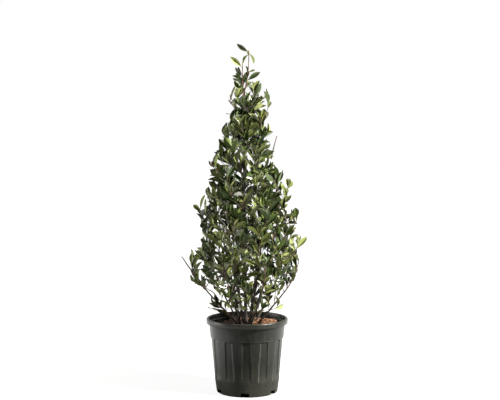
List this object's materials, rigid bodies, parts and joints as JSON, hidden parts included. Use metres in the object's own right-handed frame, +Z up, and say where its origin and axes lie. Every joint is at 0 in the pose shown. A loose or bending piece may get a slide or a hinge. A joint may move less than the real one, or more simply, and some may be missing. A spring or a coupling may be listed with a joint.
{
  "type": "potted photinia shrub",
  "caption": "Compact evergreen photinia shrub grown as a narrow leafy pyramid on many stems, standing in a round black fluted nursery pot.",
  "frame": {"origin": "the middle of the pot's flat underside, where the pot stands on the floor", "axes": "+Z up along the pot's axis, -Y towards the front of the shrub as pictured, +X to the right in that view"},
  "size_m": [0.4043, 0.3843, 1.1877],
  "materials": {
    "pot": "moulded black-grey recycled plastic, satin, a little scuffed",
    "soil": "dark potting soil with loose orange-brown bark chips",
    "stems": "dark brown bark, smooth with pale pores",
    "foliage": "leathery glossy evergreen leaves, deep green with paler young ones, reddish twigs"
  },
  "bodies": {
    "root": {"bough_back": "stems", "bough_back_left": "stems", "bough_back_right": "stems", "bough_front_left": "stems", "bough_front_right": "stems", "bough_left": "stems", "bough_right": "stems", "foliage_belly_back_left": "foliage", "foliage_belly_back_right": "foliage", "foliage_belly_front_left": "foliage", "foliage_belly_front_right": "foliage", "foliage_belly_left": "foliage", "foliage_belly_right": "foliage", "foliage_heart_1": "foliage", "foliage_heart_2": "foliage", "foliage_heart_3": "foliage", "foliage_low_back": "foliage", "foliage_low_back_left": "foliage", "foliage_low_back_right": "foliage", "foliage_low_front_left": "foliage", "foliage_low_front_right": "foliage", "foliage_low_left": "foliage", "foliage_low_right": "foliage", "foliage_mid_back_left": "foliage", "foliage_mid_back_right": "foliage", "foliage_mid_front_left": "foliage", "foliage_mid_front_right": "foliage", "foliage_mid_left": "foliage", "foliage_mid_right": "foliage", "foliage_neck_1": "foliage", "foliage_neck_2": "foliage", "foliage_neck_3": "foliage", "foliage_shoulder_1": "foliage", "foliage_shoulder_2": "foliage", "foliage_shoulder_3": "foliage", "foliage_shoulder_4": "foliage", "foliage_top": "foliage", "foliage_upper_1": "foliage", "foliage_upper_2": "foliage", "foliage_upper_3": "foliage", "foliage_upper_4": "foliage", "foliage_waist_1": "foliage", "foliage_waist_2": "foliage", "foliage_waist_3": "foliage", "foliage_waist_4": "foliage", "foliage_waist_5": "foliage", "leader": "stems", "pot": "pot", "soil": "soil", "stem_back_left": "stems", "stem_back_right": "stems", "stem_front_left": "stems", "stem_front_right": "stems", "stem_left": "stems", "stem_right": "stems"}
  },
  "joints": []
}
